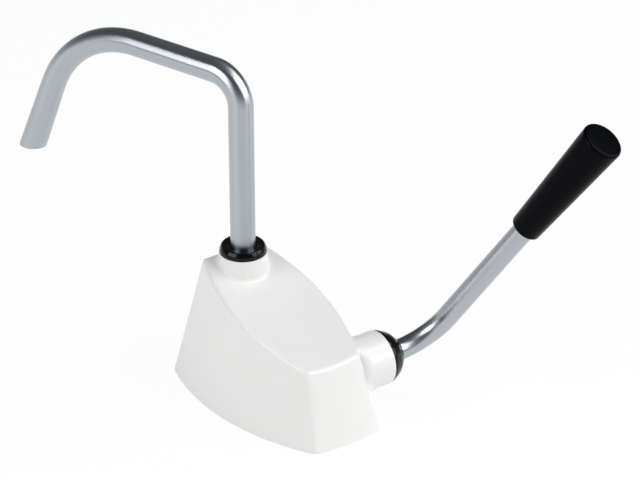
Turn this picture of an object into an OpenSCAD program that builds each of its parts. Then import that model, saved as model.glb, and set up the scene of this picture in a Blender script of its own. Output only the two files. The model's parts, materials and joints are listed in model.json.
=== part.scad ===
// Galley hand pump: a worktop pump with a swivel spout and a side lever.
// Millimetres. Z is up, the worktop is z = 0, the spout side is +Y and the lever side is +X.

/* [Cover] */
// Length of the cover along the worktop
cover_len = 130; // [120:1:150]
// Half width of the cover at its widest line
cover_half_w = 46; // [43:0.5:56]
// Draw-in of each bowed side from its widest line to the front edge
side_in = 24.4; // [18:0.1:26]
// Distance of the widest line behind the middle
widest_y = 17; // [10:1:24]
// Lean of the bowed sides
side_draft = 15; // [12:0.5:17]
// Plan radius of the front face
front_r = 105; // [95:1:160]
// Lean of the front face
front_lean = 19.5; // [15:0.5:21]
// Lean of the back face
back_lean = 5; // [2:0.5:8]
// Height of the sloping top above the middle of the base
top_z = 58; // [57:0.5:64]
// Slope of the top
top_slope = 15; // [13:0.5:17]
// Wall of the cover
wall = 3; // [2:0.1:3.6]

/* [Spout boss] */
// Distance of the spout line ahead of the back edge
spout_in = 20.5; // [18:0.5:23]
// Height of the spout boss rim
boss_z = 78.5; // [76:0.5:84]
// Radius of the boss at its rim
boss_r = 14.4; // [13.4:0.1:16]
// Radius of the boss where it leaves the cover
boss_foot_r = 16.6; // [16:0.1:18]
// Radius of the bore in the boss
boss_bore_r = 11; // [10.8:0.1:11.6]
// Height of the collar above the boss
collar_h = 5; // [4:0.25:7]

/* [Spout] */
// Outer radius of the spout tube
spout_r = 7.5; // [7:0.1:8]
// Wall of the spout tube
spout_wall = 1; // [0.8:0.1:1.6]
// Height of the middle of the level arm
arm_z = 191.7; // [170:0.5:230]
// Arm from the spout line to the second corner
arm_len = 127.6; // [105:0.5:160]
// Bend radius at the top of the upright
upright_bend_r = 19; // [16:0.5:26]
// Bend radius of the swept nozzle
nozzle_bend_r = 75; // [50:1:90]
// Angle that the nozzle falls below level
nozzle_fall = 67; // [50:0.5:75]
// Height of the level cut at the tip of the nozzle
tip_z = 99.5; // [90:0.5:120]
// Flare of the nozzle: how much its radius grows along the straight
nozzle_flare = 0.8; // [0.2:0.1:1.5]
// Turn of the spout at rest, from straight back towards the free side
spout_turn = 17.4; // [0:0.5:40]

/* [Lever] */
// Distance of the lever shaft behind the front edge
shaft_in = 27.5; // [26.5:0.25:28]
// Height of the lever shaft
shaft_z = 31; // [30:0.25:32]
// Radius of the lever boss
lever_boss_r = 16.7; // [15.2:0.1:17]
// Face of the lever boss, measured from the middle
lever_boss_x = 40.5; // [39.5:0.5:46]
// Radius of the bore in the lever boss
lever_bore_r = 12; // [11:0.1:12.6]
// Thickness of the domed gland
gland_h = 11.5; // [9:0.5:14]
// Outer radius of the lever tube
lever_r = 6.35; // [6.3:0.05:7.5]
// Wall of the lever tube
lever_wall = 1.2; // [0.8:0.1:1.2]
// Straight tube between the gland and the bend
lever_out = 0.5; // [0.5:0.5:20]
// Bend radius of the lever
lever_bend_r = 30; // [22:0.5:40]
// Bend of the lever
lever_bend = 76; // [60:1:84]
// Lean of the lever to the front at rest
lever_lean = 31; // [24:0.5:36]
// Start of the hand grip from the corner
grip_from = 110; // [80:1:140]
// Length of the hand grip
grip_len = 80; // [60:0.5:100]
// Radius of the grip where it starts
grip_r0 = 9.1; // [8.4:0.1:11]
// Radius of the grip near its end
grip_r1 = 12.4; // [11:0.1:15]

/* [Pump] */
// Radius of the lever shaft
shaft_r = 5.1; // [4.6:0.05:5.1]
// Half width of the pump chamber
chamber_half_w = 13; // [11.5:0.1:13]
// Distance from the end of the pump chamber to the spout line
chamber_room = 30; // [29.5:0.5:34]
// Wall of the pump chamber
chamber_wall = 2.5; // [1.8:0.1:2.6]
// Rise of the chamber roof over its length
roof_up = 17.8; // [16:0.1:18.2]
// Fall of the chamber floor over its length
floor_down = 14.3; // [13.5:0.1:14.7]
// Half thickness of the paddle
paddle_t = 3.5; // [3.3:0.1:3.8]
// Radius of the paddle hub
hub_r = 8; // [7.4:0.1:8.2]
// Lift of the paddle above level at rest
paddle_rest = 10; // [8:0.5:11]
// Distance of the inlet ahead of the middle
inlet_fwd = 12; // [11:0.25:14]
// Bore of the inlet union
inlet_r = 6; // [5:0.1:6.2]
// Radius of the inlet valve disc
inlet_disc_r = 8; // [7.6:0.1:8.1]
// Height of the delivery port
port_z = 48; // [47:0.25:48.5]
// Bore of the delivery port
port_r = 3.75; // [3:0.05:4]

/* [Base] */
// Thickness of the base plate
base_t = 4; // [3:0.25:5]
// Half spacing of the deck inserts across the pump
insert_x = 27; // [25:0.25:27.25]
// Half spacing of the deck inserts along the pump
insert_y = 30; // [27:0.25:31]
// Bore of the deck inserts
insert_bore_r = 2.1; // [1.6:0.05:2.6]

/* [Clearances] */
// Radial clearance of a shaft in its bearing
run_fit = 0.06; // [0.03:0.01:0.09]
// Radial clearance of a fixed piece in its seat
seat_fit = 0.05; // [0.02:0.01:0.1]
// Clearance of moving faces inside the chamber
free_gap = 0.3; // [0.3:0.05:0.4]

/* [Hidden] */
$fn = 96;
// A length that passes right through the pump
far = 60;
// A small overrun for cuts
eps = 0.5;
// Front and back of the base
front_y = -cover_len / 2;
back_y = cover_len / 2;
// Plan radius of each bowed side
side_run = widest_y - front_y;
side_r = (side_run * side_run + side_in * side_in) / (2 * side_in);
// Spout line and shaft line
spout_y = back_y - spout_in;
shaft_y = front_y + shaft_in;
// Radius of the pump chamber about the shaft, and the angles of its roof and floor
chamber_r = spout_y - shaft_y - chamber_room;
roof_rise = asin(roof_up / chamber_r);
floor_fall = asin(floor_down / chamber_r);
// Inlet line
inlet_y = -inlet_fwd;
// Heights that bound the cover
low_z = -10;
high_z = 92;
// Spout stack, from the elbow floor to the collar
elbow_depth = 35.5;
elbow_floor_t = 3;
tube_depth = 22.5;
tube_foot_gap = 1;
socket_depth = 13.1;
skirt_depth = 5.5;
elbow_floor_z = boss_z - elbow_depth;
elbow_low_z = elbow_floor_z - elbow_floor_t;
tube_foot_z = boss_z - tube_depth;
socket_floor_z = tube_foot_z - tube_foot_gap;
socket_top_z = boss_z - socket_depth;
skirt_low_z = boss_z - skirt_depth;
sleeve_low_z = socket_top_z + free_gap;
sleeve_top_z = skirt_low_z - free_gap;
collar_step = 0.2;
collar_r = boss_r - collar_step;
collar_edge = 3;
ring_t = 2;
ring_w = 1.6;
ring_first = 1.5;
ring_pitch = 4;
ring_zs = [tube_foot_z + ring_first, tube_foot_z + ring_first + ring_pitch];
ring_r = spout_r + run_fit + ring_w;
// Fittings on the shaft line
boss_in_x = 21;
bush_step = 1;
gland_skirt = 5;
bush_gap = 0.5;
bush_in_x = boss_in_x + bush_step;
skirt_in_x = lever_boss_x - gland_skirt;
bush_out_x = skirt_in_x - bush_gap;
tube_in_x = bush_in_x + bush_gap;
shaft_out_x = lever_boss_x + gland_h - bush_step;
pin_r = 1.5;
pin_short = 0.4;
// Gland in from the rim of the boss, the steps in along its dome, and their shares of its height
gland_in = 0.3;
gland_r = lever_boss_r - gland_in;
gland_steps = [2.4, 5, 7.2];
gland_shares = [0.14, 0.58, 0.83];
lever_pin_x = (bush_in_x + bush_out_x) / 2;
// Chamber along the shaft
gasket_t = 0.8;
lid_t = 2.5;
lid_in_x = -chamber_half_w - gasket_t;
lid_out_x = lid_in_x - lid_t;
lid_cap_t = 0.6;
bush_len = 4.7;
inner_bush_r = 6.6;
end_gap = 0.2;
lid_boss_wall = 1.5;
bush_seat_x = lid_in_x - bush_len;
lid_boss_x = bush_seat_x - lid_cap_t - end_gap;
lid_boss_r = inner_bush_r + seat_fit + lid_boss_wall;
shaft_in_x = bush_seat_x + end_gap;
chamber_out_x = chamber_half_w + chamber_wall;
// Gap between paddle face and chamber wall lines
paddle_room = 0.9;
hub_room = 0.5;
wall_off = paddle_t + paddle_room;
hub_room_r = hub_r + hub_room;
seal_r = 7.5;
// Paddle and wiper
wiper_t = 1.7;
wiper_r = chamber_r - free_gap;
wiper_lip = 2.7;
wiper_step = 1;
blade_r = wiper_r - wiper_lip;
blade_half_w = chamber_half_w - free_gap - wiper_t;
valve_share = 0.577;
valve_at = chamber_r * valve_share;
valve_room = 0.5;
valve_port_at = 4.8;
valve_port_r = 1.4;
valve_disc_r = 6.8;
valve_disc_t = 1.5;
valve_lift = 2;
stem_r = 1.4;
stop_r = 2.6;
stop_t = 1;
// Inlet stack
seat_up = 5;
union_neck_h = 3.5;
pocket_room = 1;
seat_z = base_t + seat_up;
union_step_z = base_t + union_neck_h;
pocket_r = inlet_disc_r + pocket_room;
disc_t = 1.5;
inlet_lift = 1.5;
cage_z = seat_z + free_gap + disc_t + inlet_lift + free_gap;
cage_t = 1.4;
seat_step = 0.8;
union_flange = 3;
union_wall = 1.5;
union_top_gap = 0.2;
union_r = inlet_r + union_flange;
union_neck_r = inlet_r + union_wall;
// Pedestal under the chamber
ped_half = 15;
ped_drop = 6;
pocket_drop = 2;
ped_y0 = inlet_y - ped_half;
ped_y1 = inlet_y + ped_half;
// Overlap of the delivery spigot with the chamber, and of its bore
spigot_lap = 8;
port_lap = 12;
chamber_screw_x = 10;
chamber_screw_dy = 10;
chamber_screw_up = 8;
// Screws
m3_r = 1.25;
m3_hole_r = m3_r + seat_fit;
screw_room = 0.3;
m3_free_r = m3_r + screw_room;
head_r = 2.9;
head_h = 1.7;
head_sink = 0.2;
screw_short = 1;
lid_screw_end = 2;
lug_r = 3.4;
lug_off = 0.6;
lug_end = 1.2;
lug_back = 4;
roof_lug_share = 0.46;
floor_lug_share = 0.385;
post_r = 3.5;
post_up = 14;
post_h = 46;
front_post_x = 15;
front_post_in = 11;
back_post_x = 24;
back_post_in = 13;
front_post = [front_post_x, front_y + front_post_in];
back_post = [back_post_x, back_y - back_post_in];
// Deck inserts
insert_wall = 1.4;
insert_cap = 1.5;
insert_r = insert_bore_r + insert_wall;
insert_boss_r = insert_r + insert_wall;
insert_h = 9;
insert_boss_h = insert_h + insert_cap;
// Delivery elbow
spigot_wall = 2.75;
spigot_stop = 17.5;
elbow_reach = 24;
elbow_step = 1.25;
elbow_wall = 3;
elbow_gap = 0.1;
outlet_ring_w = 1.5;
spigot_r = port_r + spigot_wall;
spigot_y = spout_y - spigot_stop;
elbow_mouth_y = spout_y - elbow_reach;
elbow_bore_r = port_r + elbow_step;
elbow_pipe_r = spigot_r + seat_fit + elbow_wall;
elbow_body_r = boss_bore_r - elbow_gap;
outlet_ring_y = (elbow_mouth_y + spigot_y) / 2;
outlet_ring_r = spigot_r + seat_fit + outlet_ring_w;
// Hand grip
grip_edge = 2;
grip_start_edge = 0.6;
grip_lap = 0.01;
tube_in_grip = 0.75;

// Direction of a chamber wall line, as [y, z], and the point at distance t and offset d from the shaft
function along(a, t, d) = [t * cos(a) - d * sin(a), t * sin(a) + d * cos(a)];
// Lid screw places about the shaft, as [y, z]
lid_places = [
  along(roof_rise, chamber_r * roof_lug_share, wall_off + chamber_wall + lug_off),
  along(-floor_fall, chamber_r * floor_lug_share, -(wall_off + chamber_wall + lug_off)),
  along(-floor_fall, chamber_r - lug_back, -(wall_off + chamber_wall)),
  [chamber_r + chamber_wall + lug_end, 0]
];
// Length that a bend takes from each leg
function setback(r, a) = r * tan(a / 2);
// Start of the lever's bend, and the corner where the lines of its two straights meet
bend_from_x = lever_boss_x + gland_h + lever_out;
lever_corner_x = bend_from_x + setback(lever_bend_r, lever_bend);
// End of the level arm, and the straight run of the nozzle before its cut
arm_end = arm_len - setback(nozzle_bend_r, nozzle_fall);
nozzle_run = (arm_z - tip_z) / sin(nozzle_fall) - setback(nozzle_bend_r, nozzle_fall) + spout_r;
// Height of the sloping top under an inset
function roof(y, t) = top_z + y * tan(top_slope) - t / cos(top_slope);
// Line of the back face under an inset
function rear(z, t) = back_y - z * tan(back_lean) - t / cos(back_lean);
// Where the top and the back meet
function rear_top(t) =
  (back_y - t / cos(back_lean) - (top_z - t / cos(top_slope)) * tan(back_lean))
  / (1 + tan(top_slope) * tan(back_lean));

// A cone about a vertical line, with its radius given at z = 0
module leaning_wall(r, lean) {
  translate([0, 0, low_z])
    cylinder(h = high_z - low_z, r1 = r - low_z * tan(lean), r2 = r - high_z * tan(lean), $fn = 240);
}

// The cover's outer form, drawn in by an inset t
module cover_form(t) {
  intersection() {
    for_side(-1, t);
    for_side(1, t);
    translate([0, front_y + front_r, 0]) leaning_wall(front_r - t / cos(front_lean), front_lean);
    rotate([90, 0, 90])
      translate([0, 0, -far])
        linear_extrude(2 * far)
          polygon([
            [front_y - far, low_z],
            [rear(low_z, t), low_z],
            [rear_top(t), roof(rear_top(t), t)],
            [front_y - far, roof(front_y - far, t)]
          ]);
  }
}

// One bowed side
module for_side(s, t) {
  translate([s * (cover_half_w - side_r), widest_y, 0])
    leaning_wall(side_r - t / cos(side_draft), side_draft);
}

// Everything above a height
module above(z) {
  translate([-2 * far, -2 * far, z]) cube([4 * far, 4 * far, 4 * far]);
}

// A bar along +X from x0 to x1 on the shaft line
module shaft_bar(r, x0, x1) {
  translate([x0, shaft_y, shaft_z]) rotate([0, 90, 0]) cylinder(h = x1 - x0, r = r);
}

// A turned piece about the shaft line, from a profile of [radius, x]
module shaft_turned(points) {
  translate([0, shaft_y, shaft_z]) rotate([0, 90, 0]) rotate_extrude() polygon(points);
}

// A flat profile in [y, z] about the shaft, thick from x0 to x1
module shaft_plate(x0, x1) {
  translate([x0, shaft_y, shaft_z]) rotate([90, 0, 90]) linear_extrude(x1 - x0) children();
}

// A plain ring about the spout line
module spout_ring(r0, r1, z0, z1) {
  translate([0, spout_y, z0])
    difference() {
      cylinder(h = z1 - z0, r = r1);
      translate([0, 0, -eps]) cylinder(h = z1 - z0 + 2 * eps, r = r0);
    }
}

// Points mirrored to both sides
module both(p) {
  for (s = [-1, 1]) translate([s * p[0], p[1], 0]) children();
}

// A countersunk screw pointing up from z = 0
module countersunk(r, up) {
  cylinder(h = up, r = r);
  translate([0, 0, head_sink]) cylinder(h = head_h, r1 = head_r, r2 = r);
}

// The hole for a countersunk screw
module countersunk_hole(up) {
  translate([0, 0, -eps]) cylinder(h = up + 2 * eps, r = m3_free_r);
  translate([0, 0, -eps]) cylinder(h = eps + head_sink, r = head_r + screw_room);
  translate([0, 0, head_sink]) cylinder(h = head_h, r1 = head_r + screw_room, r2 = m3_free_r);
}

module cover() {
  color("white")
    difference() {
      union() {
        difference() {
          union() {
            cover_form(0);
            spout_boss();
          }
          cover_form(wall);
        }
        intersection() {
          cover_form(0);
          union() {
            both(front_post) cylinder(h = post_h, r = post_r);
            both(back_post) cylinder(h = post_h, r = post_r);
          }
        }
        shaft_bar(lever_boss_r, boss_in_x, lever_boss_x);
      }
      mirror([0, 0, 1]) above(0);
      translate([0, spout_y, tube_foot_z]) cylinder(h = boss_z, r = boss_bore_r);
      shaft_bar(lever_bore_r, chamber_out_x, lever_boss_x + eps);
      both(front_post) post_bore();
      both(back_post) post_bore();
    }
}

// The raised boss that holds the spout
module spout_boss() {
  translate([0, spout_y, roof(0, 0)])
    cylinder(h = boss_z - roof(0, 0), r1 = boss_foot_r, r2 = boss_r);
}

// Room for the base plate under a post, and the hole for its screw
module post_bore() {
  translate([0, 0, -eps]) cylinder(h = base_t + eps, r = post_r + eps);
  translate([0, 0, base_t - eps]) cylinder(h = post_up + eps, r = m3_hole_r);
}

module base_plate() {
  color("gainsboro")
    difference() {
      union() {
        intersection() {
          cover_form(wall + seat_fit);
          translate([-far, -2 * far, 0]) cube([2 * far, 4 * far, base_t]);
        }
        both([insert_x, insert_y]) cylinder(h = insert_boss_h, r = insert_boss_r);
        both([insert_x, -insert_y]) cylinder(h = insert_boss_h, r = insert_boss_r);
      }
      both([insert_x, insert_y]) insert_seat();
      both([insert_x, -insert_y]) insert_seat();
      both(front_post) countersunk_hole(base_t);
      both(back_post) countersunk_hole(base_t);
      both([chamber_screw_x, inlet_y - chamber_screw_dy]) countersunk_hole(base_t);
      both([chamber_screw_x, inlet_y + chamber_screw_dy]) countersunk_hole(base_t);
      translate([0, inlet_y, -eps]) cylinder(h = base_t + 2 * eps, r = union_r + seat_fit);
    }
}

// Seat of one deck insert
module insert_seat() {
  translate([0, 0, -eps]) cylinder(h = insert_h + eps, r = insert_r + seat_fit);
}

module base_screws() {
  color("silver") {
    both(front_post) countersunk(m3_r, base_t + post_up - screw_short);
    both(back_post) countersunk(m3_r, base_t + post_up - screw_short);
  }
}

module deck_inserts() {
  color("goldenrod") {
    both([insert_x, insert_y]) deck_insert();
    both([insert_x, -insert_y]) deck_insert();
  }
}

// One threaded insert
module deck_insert() {
  difference() {
    cylinder(h = insert_h, r = insert_r);
    translate([0, 0, -eps]) cylinder(h = insert_h + 2 * eps, r = insert_bore_r);
  }
}

// The chamber's outline about the shaft: room d beyond the wall lines, radius r, hub room h
module chamber_outline(d, r, h) {
  intersection() {
    circle(r, $fn = 180);
    polygon([
      along(roof_rise, 0, d),
      along(roof_rise, 2 * r, d),
      along(-floor_fall, 2 * r, -d),
      along(-floor_fall, 0, -d)
    ]);
  }
  circle(h);
}

// The outline of the chamber, its gasket and its lid
module flange_outline() {
  chamber_outline(wall_off + chamber_wall, chamber_r + chamber_wall, hub_room_r + chamber_wall);
  for (p = lid_places) translate(p) circle(lug_r);
}

module pump_chamber() {
  color("lightsteelblue")
    difference() {
      union() {
        shaft_plate(-chamber_half_w, chamber_out_x) flange_outline();
        translate([-chamber_half_w, ped_y0, base_t])
          cube([2 * chamber_half_w, ped_y1 - ped_y0, shaft_z - base_t - ped_drop]);
        translate([0, shaft_y + chamber_r - spigot_lap, port_z])
          rotate([-90, 0, 0])
            cylinder(h = spigot_y - shaft_y - chamber_r + spigot_lap, r = spigot_r);
      }
      shaft_plate(-chamber_half_w - eps, chamber_half_w)
        chamber_outline(wall_off, chamber_r, hub_room_r);
      shaft_bar(seal_r, chamber_half_w - eps, chamber_out_x + eps);
      translate([0, shaft_y + chamber_r - port_lap, port_z])
        rotate([-90, 0, 0]) cylinder(h = far, r = port_r);
      translate([0, inlet_y, seat_z]) cylinder(h = shaft_z - seat_z - wall_off - pocket_drop, r = pocket_r);
      translate([0, inlet_y, base_t - eps]) cylinder(h = seat_z, r = inlet_r - seat_step);
      translate([0, inlet_y, base_t - eps])
        cylinder(h = union_step_z - base_t + eps + union_top_gap, r = union_neck_r + seat_fit);
      both([chamber_screw_x, inlet_y - chamber_screw_dy]) chamber_screw_hole();
      both([chamber_screw_x, inlet_y + chamber_screw_dy]) chamber_screw_hole();
      for (p = lid_places) lid_hole(p, -chamber_half_w - eps, chamber_out_x - lid_screw_end);
    }
}

// One screw hole along the shaft's direction
module lid_hole(p, x0, x1) {
  translate([x0, shaft_y + p[0], shaft_z + p[1]])
    rotate([0, 90, 0]) cylinder(h = x1 - x0, r = m3_hole_r);
}

// One screw hole up into the pedestal
module chamber_screw_hole() {
  translate([0, 0, base_t - eps]) cylinder(h = chamber_screw_up + eps, r = m3_hole_r);
}

module chamber_screws() {
  color("silver") {
    both([chamber_screw_x, inlet_y - chamber_screw_dy])
      countersunk(m3_r, base_t + chamber_screw_up - screw_short);
    both([chamber_screw_x, inlet_y + chamber_screw_dy])
      countersunk(m3_r, base_t + chamber_screw_up - screw_short);
  }
}

module chamber_lid() {
  color("lightsteelblue")
    difference() {
      union() {
        shaft_plate(lid_out_x, lid_in_x) flange_outline();
        shaft_bar(lid_boss_r, lid_boss_x, lid_in_x);
      }
      shaft_bar(inner_bush_r + seat_fit, bush_seat_x - end_gap, lid_in_x + eps);
      for (p = lid_places) lid_hole(p, lid_out_x - eps, lid_in_x + eps);
    }
}

module lid_gasket() {
  color("dimgray")
    difference() {
      shaft_plate(lid_in_x, -chamber_half_w) flange_outline();
      shaft_plate(lid_in_x - eps, -chamber_half_w + eps)
        chamber_outline(wall_off, chamber_r, hub_room_r);
      for (p = lid_places) lid_hole(p, lid_in_x - eps, -chamber_half_w + eps);
    }
}

module lid_screws() {
  color("silver")
    for (p = lid_places)
      translate([lid_out_x, shaft_y + p[0], shaft_z + p[1]])
        rotate([0, 90, 0]) {
          cylinder(h = chamber_out_x - lid_out_x - lid_screw_end - screw_short, r = m3_r);
          translate([0, 0, -head_h]) cylinder(h = head_h, r = head_r);
        }
}

module inlet_union() {
  color("goldenrod")
    translate([0, inlet_y, 0])
      difference() {
        union() {
          cylinder(h = base_t, r = union_r);
          cylinder(h = union_step_z, r = union_neck_r);
        }
        translate([0, 0, -eps]) cylinder(h = union_step_z + 2 * eps, r = inlet_r);
      }
}

module valve_cage() {
  color("white")
    translate([0, inlet_y, cage_z])
      difference() {
        cylinder(h = cage_t, r = pocket_r - seat_fit);
        for (a = [45 : 90 : 315])
          rotate([0, 0, a])
            translate([pocket_r * 0.5, 0, -eps]) cylinder(h = cage_t + 2 * eps, r = pocket_r * 0.28);
      }
}

module inlet_valve() {
  color("black")
    translate([0, inlet_y, seat_z + free_gap]) cylinder(h = disc_t, r = inlet_disc_r);
}

module delivery_elbow() {
  color("lightsteelblue")
    difference() {
      union() {
        translate([0, spout_y, elbow_low_z]) cylinder(h = socket_top_z - elbow_low_z, r = elbow_body_r);
        translate([0, elbow_mouth_y, port_z])
          rotate([-90, 0, 0]) cylinder(h = spout_y - elbow_mouth_y, r = elbow_pipe_r);
      }
      translate([0, spout_y, elbow_floor_z])
        cylinder(h = socket_floor_z - elbow_floor_z + eps, r = spout_r - spout_wall);
      translate([0, spout_y, socket_floor_z])
        cylinder(h = socket_top_z - socket_floor_z + eps, r = spout_r + run_fit);
      for (z = ring_zs)
        translate([0, spout_y, z]) cylinder(h = ring_t, r = ring_r + seat_fit);
      translate([0, elbow_mouth_y - eps, port_z])
        rotate([-90, 0, 0]) cylinder(h = spigot_y - elbow_mouth_y + eps, r = spigot_r + seat_fit);
      translate([0, elbow_mouth_y - eps, port_z])
        rotate([-90, 0, 0]) cylinder(h = spout_y - elbow_mouth_y + eps, r = elbow_bore_r);
      translate([0, outlet_ring_y - ring_t / 2, port_z])
        rotate([-90, 0, 0]) cylinder(h = ring_t, r = outlet_ring_r + seat_fit);
    }
}

module outlet_oring() {
  color("black")
    translate([0, outlet_ring_y - ring_t / 2, port_z])
      rotate([-90, 0, 0])
        difference() {
          cylinder(h = ring_t, r = outlet_ring_r);
          translate([0, 0, -eps]) cylinder(h = ring_t + 2 * eps, r = spigot_r);
        }
}

module spout_orings() {
  color("black")
    for (z = ring_zs) spout_ring(spout_r + run_fit, ring_r, z, z + ring_t);
}

module spout_collar() {
  color("black")
    translate([0, spout_y, boss_z])
      rotate_extrude()
        difference() {
          union() {
            translate([0, skirt_low_z - boss_z]) square([boss_bore_r - seat_fit, boss_z - skirt_low_z]);
            square([collar_r, collar_h - collar_edge]);
            square([collar_r - collar_edge, collar_h]);
            translate([collar_r - collar_edge, collar_h - collar_edge])
              intersection() {
                circle(collar_edge, $fn = 48);
                square(collar_edge);
              }
          }
          translate([0, skirt_low_z - boss_z - eps])
            square([spout_r + run_fit, boss_z - skirt_low_z + collar_h + 2 * eps]);
        }
}

module lever_gland() {
  color("black")
    shaft_turned([
      [lever_r + run_fit, skirt_in_x],
      [lever_bore_r - seat_fit, skirt_in_x],
      [lever_bore_r - seat_fit, lever_boss_x],
      [gland_r, lever_boss_x],
      [gland_r, lever_boss_x + gland_h * gland_shares[0]],
      [gland_r - gland_steps[0], lever_boss_x + gland_h * gland_shares[1]],
      [gland_r - gland_steps[1], lever_boss_x + gland_h * gland_shares[2]],
      [gland_r - gland_steps[2], lever_boss_x + gland_h],
      [lever_r + run_fit, lever_boss_x + gland_h]
    ]);
}

module lever_bush() {
  color("white")
    difference() {
      shaft_bar(lever_bore_r - seat_fit, bush_in_x, bush_out_x);
      shaft_bar(lever_r + run_fit, bush_in_x - eps, bush_out_x + eps);
    }
}

module shaft_seal() {
  color("black")
    difference() {
      shaft_bar(seal_r - seat_fit, chamber_half_w, chamber_out_x);
      shaft_bar(shaft_r + run_fit, chamber_half_w - eps, chamber_out_x + eps);
    }
}

module inner_bush() {
  color("white")
    difference() {
      shaft_bar(inner_bush_r, bush_seat_x, lid_in_x);
      shaft_bar(shaft_r + run_fit, bush_seat_x - eps, lid_in_x + eps);
    }
}

// The spout's own upright plane: Y out along the arm
module spout_plane() {
  translate([0, spout_y, 0]) rotate([0, 0, spout_turn]) children();
}

// The upright, its bend and the level arm at one radius
module upright_path(r, z0, y1) {
  translate([0, 0, z0]) cylinder(h = arm_z - upright_bend_r - z0, r = r);
  translate([0, upright_bend_r, arm_z - upright_bend_r])
    rotate([90, 0, 90])
      rotate([0, 0, 90]) rotate_extrude(angle = 90) translate([upright_bend_r, 0]) circle(r);
  translate([0, upright_bend_r, arm_z])
    rotate([-90, 0, 0]) cylinder(h = y1 - upright_bend_r, r = r);
}

// The swept bend and the flared nozzle, from one radius
module nozzle_path(r, run) {
  translate([0, arm_end, arm_z - nozzle_bend_r])
    rotate([-nozzle_fall, 0, 0]) {
      rotate([90, 0, 90])
        rotate([0, 0, 90]) rotate_extrude(angle = nozzle_fall) translate([nozzle_bend_r, 0]) circle(r);
      translate([0, 0, nozzle_bend_r]) rotate([-90, 0, 0]) cylinder(h = run, r1 = r, r2 = r + nozzle_flare);
    }
}

module spout_tube() {
  color("lightgray")
    spout_plane()
      difference() {
        upright_path(spout_r, tube_foot_z, arm_end);
        upright_path(spout_r - spout_wall, tube_foot_z - eps, arm_end + eps);
      }
}

module spout_nozzle() {
  color("lightgray")
    spout_plane()
      difference() {
        nozzle_path(spout_r, nozzle_run);
        nozzle_path(spout_r - spout_wall, nozzle_run + eps);
        translate([-far, arm_len, tip_z - 2 * far]) cube([2 * far, 2 * far, 2 * far]);
      }
}

module spout_sleeve() {
  color("white") spout_ring(spout_r, boss_bore_r - run_fit, sleeve_low_z, sleeve_top_z);
}

// The lever's plane: X along the shaft, Z up the lean of the lever
module lever_plane() {
  translate([0, shaft_y, shaft_z]) rotate([lever_lean, 0, 0]) children();
}

// The lever's line beyond the bend: Z out along the arm from the corner
module arm_line() {
  lever_plane() translate([lever_corner_x, 0, 0]) rotate([0, 90 - lever_bend, 0]) children();
}

// The lever's straight on the shaft line and its bend at one radius
module crank_path(r, x0) {
  translate([x0, 0, 0]) rotate([0, 90, 0]) cylinder(h = bend_from_x - x0, r = r);
  translate([bend_from_x, 0, lever_bend_r])
    rotate([90, 0, 0])
      rotate([0, 0, -90]) rotate_extrude(angle = lever_bend) translate([lever_bend_r, 0]) circle(r);
}

module lever_tube() {
  color("lightgray")
    difference() {
      lever_plane()
        difference() {
          crank_path(lever_r, tube_in_x);
          crank_path(lever_r - lever_wall, tube_in_x - eps);
        }
      lever_pin_bar(pin_r + seat_fit, lever_r + eps);
    }
}

module lever_arm() {
  arm_from = lever_corner_x - bend_from_x;
  arm_run = grip_from + grip_len * tube_in_grip - arm_from;
  color("lightgray")
    arm_line()
      translate([0, 0, arm_from])
        difference() {
          cylinder(h = arm_run, r = lever_r);
          translate([0, 0, -eps]) cylinder(h = arm_run + 2 * eps, r = lever_r - lever_wall);
        }
}

module hand_grip() {
  color("black")
    arm_line()
      translate([0, 0, grip_from])
        rotate_extrude()
          difference() {
            union() {
              polygon([
                [0, 0], [grip_r0 - grip_start_edge, 0], [grip_r0, grip_start_edge],
                [grip_r1, grip_len - grip_edge], [0, grip_len - grip_edge]
              ]);
              translate([grip_r1 - grip_edge, grip_len - grip_edge])
                intersection() {
                  circle(grip_edge, $fn = 48);
                  square(grip_edge);
                }
              translate([0, grip_len - grip_edge - grip_lap])
                square([grip_r1 - grip_edge, grip_edge + grip_lap]);
            }
            translate([0, -eps])
              square([lever_r + seat_fit, grip_len * tube_in_grip + seat_fit + eps]);
          }
}

module lever_shaft() {
  color("silver")
    difference() {
      shaft_bar(shaft_r, shaft_in_x, shaft_out_x);
      lever_pin_bar(pin_r + seat_fit, lever_r + eps);
      paddle_pin_bar(pin_r + seat_fit, hub_r + eps);
    }
}

// The cross pin that joins tube and shaft, at one radius and half length
module lever_pin_bar(r, half) {
  translate([lever_pin_x, shaft_y, shaft_z]) translate([0, 0, -half]) cylinder(h = 2 * half, r = r);
}

// The cross pin that joins paddle and shaft
module paddle_pin_bar(r, half) {
  paddle_plane() translate([0, 0, -half]) cylinder(h = 2 * half, r = r);
}

module lever_pin() {
  color("silver") lever_pin_bar(pin_r, lever_r - pin_short);
}

// The paddle's plane: Y out along the blade, Z square to it
module paddle_plane() {
  translate([0, shaft_y, shaft_z]) rotate([paddle_rest, 0, 0]) children();
}

module paddle() {
  color("white")
    paddle_plane()
      difference() {
        union() {
          rotate([0, 90, 0])
            translate([0, 0, -chamber_half_w + free_gap])
              cylinder(h = 2 * (chamber_half_w - free_gap), r = hub_r);
          translate([-blade_half_w, 0, -paddle_t]) cube([2 * blade_half_w, blade_r, 2 * paddle_t]);
        }
        rotate([0, 90, 0])
          translate([0, 0, -far]) cylinder(h = 2 * far, r = shaft_r + seat_fit);
        translate([0, 0, -hub_r - eps]) cylinder(h = 2 * hub_r + 2 * eps, r = pin_r + seat_fit);
        translate([0, valve_at, 0]) transfer_room();
      }
}

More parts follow.
